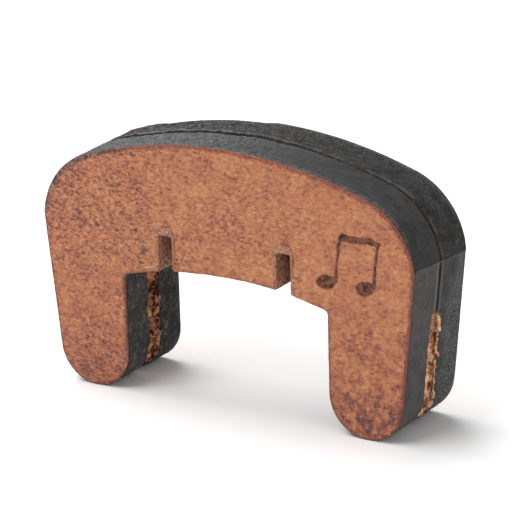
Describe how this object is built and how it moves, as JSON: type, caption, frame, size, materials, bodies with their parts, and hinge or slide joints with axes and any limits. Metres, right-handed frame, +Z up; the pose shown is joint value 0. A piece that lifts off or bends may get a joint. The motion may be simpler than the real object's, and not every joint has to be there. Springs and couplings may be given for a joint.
{
  "type": "violin practice mute",
  "caption": "Leather mute for a violin bridge: a glued two-ply arch with slotted legs, string notches and blackened cut edges.",
  "frame": {"origin": "on the surface the mute stands on, midway between the legs and midway through the thickness", "axes": "+X from leg to leg, to the right seen from the front; +Y through the thickness, from the front face to the rear face; +Z up, from the feet to the crown"},
  "size_m": [0.036, 0.0084, 0.0227],
  "materials": {
    "tan_leather": "satin",
    "raw_leather": "matte",
    "leather_fibre": "matte",
    "black_edge": "matte",
    "burnt_mark": "matte",
    "dry_glue": "matte"
  },
  "bodies": {
    "root": {"front_ply": "tan_leather", "rear_ply": "tan_leather", "front_edge_coat": "black_edge", "rear_edge_coat": "black_edge", "glue_film": "dry_glue"}
  },
  "joints": []
}
